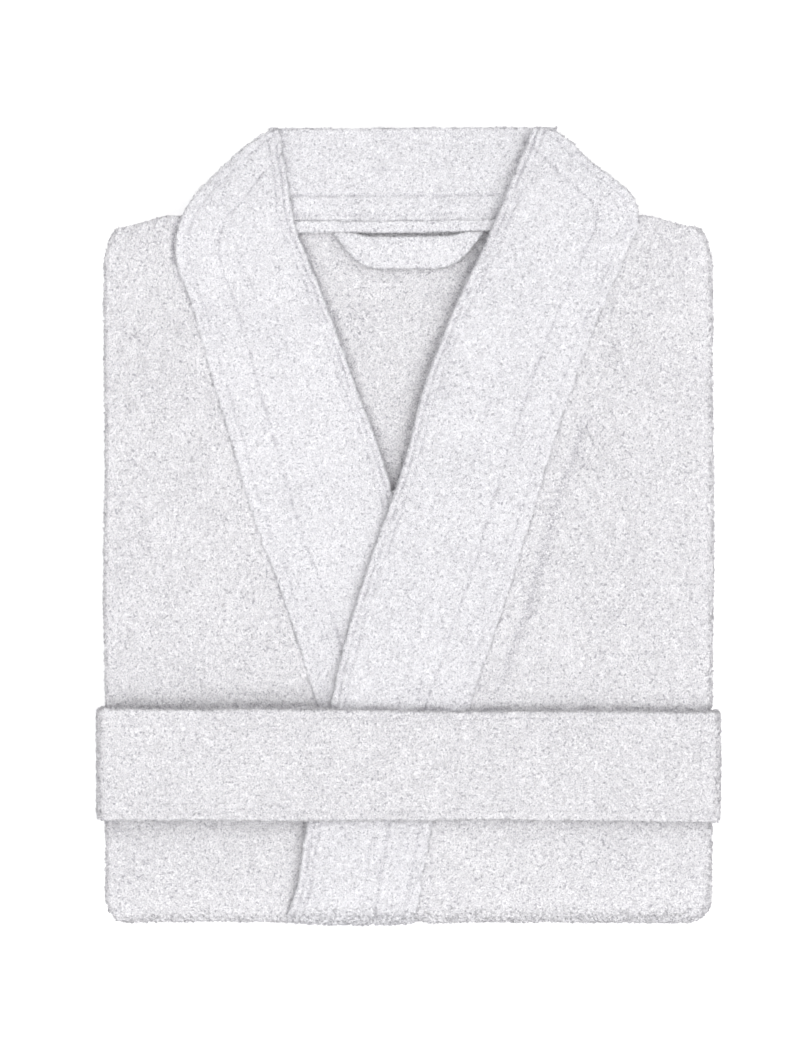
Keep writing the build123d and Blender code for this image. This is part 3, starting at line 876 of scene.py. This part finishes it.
def sheet_from_rings(name, flat, seed, amount, material, node, body,
                     settle=1.0, closed=False, grooves=None, fuzz=0.0):
    """A piece from rings of points, closed end to end or capped, with its pile on it."""
    settled = flat + (soften(flat) - flat) * settle
    if closed:
        wrapped = np.concatenate((settled[-1:], settled, settled[:1]))
        n = normals_of(wrapped)[1:-1]
    else:
        n = normals_of(settled)
    rows, cols = flat.shape[:2]
    quads = grid_quads(rows, cols)
    if closed:
        seam = np.stack(((rows - 1) * cols + np.arange(cols),
                         (rows - 1) * cols + (np.arange(cols) + 1) % cols,
                         (np.arange(cols) + 1) % cols, np.arange(cols)), axis=-1)
        quads = np.concatenate((quads, seam))
    cut = grooves(flat) if grooves is not None else 0 * flat[..., 0]
    obj = raise_pile(name, flat, settled, n, quads, amount, cut, not closed, seed, fuzz,
                     FOLD_Z + START)
    dress(obj, material, node)
    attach(obj, body)


# ------------------------------------------------------------ belt
BELT_EDGE = 1.6             # how far its long edges are rounded, and half its thickness there


def make_belt():
    """The belt, once round the folded robe: a doubled strip, sewn along its lower edge."""
    low, high = corner("belt", 0), corner("belt", 1)
    half_x = high[0] - BELT_EDGE
    z_low, z_high = low[2] + BAND / 2, high[2] - BAND / 2
    radius = 6.5
    top = np.linspace(-half_x + radius, half_x - radius, 460)
    bend = np.linspace(0, math.pi / 2, 12)[1:-1]
    side = np.linspace(z_high - radius, z_low + radius, 9)
    under = np.linspace(half_x - radius, -half_x + radius, 110)
    turn_x, upper, lower = half_x - radius, z_high - radius, z_low + radius
    path = [(x, z_high) for x in top]
    path += [(turn_x + radius * math.sin(a), upper + radius * math.cos(a)) for a in bend]
    path += [(half_x, z) for z in side]
    path += [(turn_x + radius * math.cos(a), lower - radius * math.sin(a)) for a in bend]
    path += [(x, z_low) for x in under]
    path += [(-turn_x - radius * math.sin(a), lower - radius * math.cos(a)) for a in bend]
    path += [(-half_x, z) for z in side[::-1]]
    path += [(-turn_x - radius * math.cos(a), upper + radius * math.sin(a)) for a in bend]
    path = np.array(path)
    ahead = np.roll(path, -1, axis=0) - np.roll(path, 1, axis=0)
    ahead /= np.linalg.norm(ahead, axis=-1, keepdims=True)
    out = np.stack((-ahead[:, 1], ahead[:, 0]), axis=-1)
    thick = np.where(np.abs(path[:, 0]) > half_x - 0.01, BELT_EDGE, BAND / 2)
    thick = np.convolve(np.concatenate((thick[-6:], thick, thick[:6])), np.ones(13) / 13, "valid")
    y_low, y_high = low[1] + 0.5, high[1] - 0.5
    flat_low, flat_high = y_low + BELT_EDGE, y_high - BELT_EDGE
    turn = np.linspace(0, math.pi, 9)[1:-1]
    ring = [(y, 1) for y in np.linspace(flat_low, flat_high, 88)]
    ring += [(flat_high + BELT_EDGE * math.sin(a), math.cos(a)) for a in turn]
    ring += [(y, -1) for y in np.linspace(flat_high, flat_low, 12)]
    ring += [(flat_low - BELT_EDGE * math.sin(a), -math.cos(a)) for a in turn]
    ring = np.array(ring)
    rise = ring[None, :, 1] * thick[:, None]
    x = path[:, None, 0] + out[:, None, 0] * rise
    z = path[:, None, 1] + out[:, None, 1] * rise
    y = ring[None, :, 0] + 0 * x
    # The edges wander a little, and the belt's right end sits a shade lower.
    edge = (y - (y_low + y_high) / 2) / 30.0
    wander = noise(np.stack((x, 0 * x, 0 * x), axis=-1), 60.0, 411) * 0.5
    y = y + wander * edge - 0.004 * x + 0.4
    flat = np.stack((x, y, z), axis=-1)

    def rows(p):
        up = smooth((p[..., 2] - z_high + 1.0) / 1.5)
        near_low = np.abs(p[..., 1] - (y_low + 5.5))
        near_high = np.abs(p[..., 1] - (y_high - 4.0))
        roll = 0.25 * np.exp(-(near_low / 4.0) ** 2)
        # The stitch grooves also darken the colour, as painted shade.
        return up * (roll - 0.5 * np.exp(-((near_low - 0.2) / 0.8) ** 2)
                     - 0.3 * np.exp(-(near_high / 0.8) ** 2))

    sheet_from_rings("belt_terry", flat, 131, 1.0, BELT_TERRY, "belt", "belt_wrap",
                     0.55, True, grooves=rows,
                     fuzz=0.45)


def make_tail(node, seed):
    """One of the belt's tails, doubled back on itself."""
    low, high = corner(node, 0), corner(node, 1)
    ply = (high[2] - low[2]) / 4
    top_z, low_z = high[2] - ply, low[2] + ply
    bend = (top_z - low_z) / 2
    run = high[1] - ply - bend
    ys = np.linspace(low[1] + 1, run, 100)
    around = np.linspace(math.pi / 2, -math.pi / 2, 12)[1:-1]
    path = [(y, top_z) for y in ys]
    path += [(run + bend * math.cos(a), (top_z + low_z) / 2 + bend * math.sin(a)) for a in around]
    path += [(y, low_z) for y in ys[::-1]]
    path = np.array(path)
    ahead = np.gradient(path, axis=0)
    ahead /= np.linalg.norm(ahead, axis=-1, keepdims=True)
    out = np.stack((-ahead[:, 1], ahead[:, 0]), axis=-1)
    half = ply * 0.86
    wide = high[0] - half - 0.3
    ring = [(x, 1) for x in np.linspace(-wide, wide, 26)]
    ring += [(wide + half * math.sin(a), math.cos(a)) for a in np.linspace(0, math.pi, 6)[1:-1]]
    ring += [(x, -1) for x in np.linspace(wide, -wide, 26)]
    ring += [(-wide - half * math.sin(a), -math.cos(a)) for a in np.linspace(0, math.pi, 6)[1:-1]]
    ring = np.array(ring)
    ends = end_rounding(np.linspace(0, 500, len(path)), 4)
    rise = ring[None, :, 1] * half * ends[:, None]
    x = ring[None, :, 0] + 0 * rise
    y = path[:, None, 0] + out[:, None, 0] * rise
    z = path[:, None, 1] + out[:, None, 1] * rise
    sheet_from_rings(node + "_terry", np.stack((x, y, z), axis=-1), seed, 0.3, BELT_TERRY,
                     node, "belt_wrap",
                     0.5)


# ------------------------------------------------------------ skirt
SKIRT_PITCH = 2.4
SEAM_GAP = 0.15             # between one piece's end and the next one's start
UPPER_FROM = UPPER_START + SEAM_RUN + SEAM_GAP
UPPER_TO = LOWER_START + SEAM_RUN
HEM_FROM = HEM_END - (corner("back_hem", 1)[1] - corner("back_hem", 0)[1])


def skirt_front(node, side, seam_x, levels, start, end, seed, fold):
    s = rows_between(start, end, SKIRT_PITCH, 0.5)
    x0 = np.full_like(s, seam_x - side * 3.0)
    x1 = np.full_like(s, side * HALF_WIDTH)
    profile = wrap_profile(levels, WING_FRONT, HALF_WIDTH - abs(seam_x) + 6, SKIRT_PITCH, 9,
                           SKIRT_PITCH * 1.4, HALF_WIDTH - CHANNEL - 16)
    obj, flat, area = sweep(node + "_terry", s, profile, x0, x1, seed, 0.8)
    dress(obj, BODY_TERRY, node)
    turn_with(obj, fold)


def skirt_band(node, outline, levels, start, end, seed, fold):
    s = rows_between(start, end, 1.6, 0.5)
    profile = strip_profile(levels, 74, 1.4, 6, 0.2)
    obj, flat, area = sweep(node + "_terry", s, profile, np.full_like(s, outline[0]),
                            np.full_like(s, outline[1]), seed, 0.8, groove_rows(BAND_ROWS, 0.6, 1.5))
    dress(obj, BAND_TERRY, node)
    turn_with(obj, fold)


def make_pocket(node, side, level):
    low, high = corner(node, 0), corner(node, 1)
    start, end = UPPER_START + low[1] - FOLD_Y, UPPER_START + high[1] - FOLD_Y
    s = rows_between(start, end, 1.6, 0.8)
    edges = sorted((abs(low[0]), abs(high[0])))
    x0, x1 = np.full_like(s, side * edges[0]), np.full_like(s, side * edges[1])
    profile = strip_profile((level, level + high[2] - low[2]), edges[1] - edges[0], 1.6, 8)

    def rows(x, x0_, x1_, p):
        gap = np.minimum(np.abs(x - x0_), np.abs(x - x1_))
        down = s[:, None] - start + 0 * x
        mouth_hem = np.exp(-((down - 28) / 1.4) ** 2)
        foot_row = np.exp(-((end - start - down - 5) / 1.4) ** 2)
        side_rows = np.exp(-((gap - 5) / 1.4) ** 2)
        # These stitch grooves also darken the colour, as painted shade.
        return -0.45 * (mouth_hem + 0.8 * foot_row + side_rows)

    obj, flat, area = sweep(node + "_terry", s, profile, x0, x1, 151, 0.45, rows)
    dress(obj, BODY_TERRY, node)
    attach(obj, "upper_skirt")


def make_skirt():
    coarse = back_profile(-150, 150, 3.0, 3.0)
    make_back_piece("upper_back", rows_between(UPPER_FROM, UPPER_TO, 3.0, 0.5), coarse,
                    "skirt", 0.8)
    make_back_piece("lower_back", rows_between(UPPER_TO + SEAM_GAP, HEM_FROM, 3.0, 0.5), coarse,
                    "lower_skirt", 0.8)
    make_back_piece("back_hem", rows_between(HEM_FROM + SEAM_GAP, HEM_END, 2.0, 1.2), coarse,
                    "lower_skirt", 0.8)
    for name, side, skirt, panel, band, seed in (
            ("right", -1, UNDER_SKIRT, UNDER_PANEL, UNDER_BAND, 11),
            ("left", 1, OVER_SKIRT, OVER_PANEL, OVER_BAND, 23)):
        skirt_front(f"upper_{name}_front", side, skirt[1], panel, UPPER_FROM, UPPER_TO, seed,
                    "skirt")
        skirt_front(f"lower_{name}_front", side, skirt[1], panel, UPPER_TO + SEAM_GAP, HEM_FROM, seed,
                    "lower_skirt")
        skirt_front(f"{name}_front_hem", side, skirt[1], panel, HEM_FROM + SEAM_GAP, HEM_END, seed,
                    "lower_skirt")
        skirt_band(f"upper_{name}_band", skirt, band, UPPER_FROM, UPPER_TO, seed + 14,
                   "skirt")
        skirt_band(f"lower_{name}_band", skirt, band, UPPER_TO + SEAM_GAP, HEM_END, seed + 14,
                   "lower_skirt")
        make_pocket(f"{name}_pocket", side, panel[1])


def make_robe():
    make_back()
    make_front("right_front_panel", -1, UNDER_SEAM, UNDER_SKIRT[1], UNDER_PANEL, 11)
    make_front("left_front_panel", 1, OVER_SEAM, OVER_SKIRT[1], OVER_PANEL, 23)
    make_collar_band("right_collar_band", UNDER_INNER, UNDER_SEAM, UNDER_BAND, 37)
    make_collar_band("left_collar_band", OVER_INNER, OVER_SEAM, OVER_BAND, 41)
    make_neck_band()
    make_loop()
    for name, side, seed in (("right", -1, 61), ("left", 1, 67)):
        make_sleeve_part(f"{name}_sleeve", side, 2.6, BODY_TERRY, seed)
        make_sleeve_part(f"{name}_cuff", side, 2.2, BAND_TERRY, seed + 2)
    make_belt()
    make_tail("belt_tail_right", 141)
    make_tail("belt_tail_left", 143)
    make_skirt()


# ------------------------------------------------------------ stage
FLOOR_REACH = 4000.0


def soft_sun(name, towards, strength, spread):
    data = bpy.data.lights.new(name, "SUN")
    data.energy = strength
    data.angle = math.radians(spread)
    obj = bpy.data.objects.new(name, data)
    x, y, z = np.array(towards) / np.linalg.norm(towards)
    obj.rotation_euler = (math.acos(z), 0, math.atan2(x, -y))
    obj.location = (x, y, z)
    bpy.context.collection.objects.link(obj)


def make_world(horizon, overhead):
    """A soft white room, brighter overhead than at the sides."""
    world = bpy.data.worlds.new("studio")
    world.use_nodes = True
    tree = world.node_tree
    background = tree.nodes["Background"]
    background.inputs[0].default_value = (1, 1, 1, 1)
    split = tree.nodes.new("ShaderNodeSeparateXYZ")
    tree.links.new(tree.nodes.new("ShaderNodeTexCoord").outputs["Generated"], split.inputs[0])
    rise = math_node(tree, "MULTIPLY", split.outputs[2], overhead - horizon)
    rise = math_node(tree, "MAXIMUM", rise, 0.0)
    tree.links.new(math_node(tree, "ADD", rise, horizon), background.inputs[1])
    bpy.context.scene.world = world


def make_stage():
    corners = np.array([(-1, -1, 0), (1, -1, 0), (1, 1, 0), (-1, 1, 0)], float) * FLOOR_REACH
    floor = new_mesh("floor", corners, np.array([[0, 1, 2, 3]]))
    floor.location.z = -0.0006
    material, _, shader = node_material("floor_white")
    shader.inputs["Base Color"].default_value = (0.92, 0.92, 0.92, 1)
    shader.inputs["Roughness"].default_value = 0.9
    shader.inputs["Emission Color"].default_value = (1, 1, 1, 1)
    shader.inputs["Emission Strength"].default_value = 0.12
    floor.data.materials.append(material)
    make_world(0.98, 1.60)
    soft_sun("soft_key", (0.45, -0.75, 1.0), 0.85, 50)
    bpy.context.scene.view_settings.view_transform = "Standard"


def make_camera():
    """Straight down on the folded robe, from far enough away to be nearly flat."""
    frame_height = 0.577
    distance = 2.6
    data = bpy.data.cameras.new("camera")
    data.sensor_fit = "VERTICAL"
    data.sensor_height = 36
    data.lens = 36 * distance / frame_height
    obj = bpy.data.objects.new("camera", data)
    obj.location = (-0.0046, -0.0022, distance + TORSO_TOP * MM)
    bpy.context.collection.objects.link(obj)
    bpy.context.scene.camera = obj


make_robe()
make_stage()
make_camera()
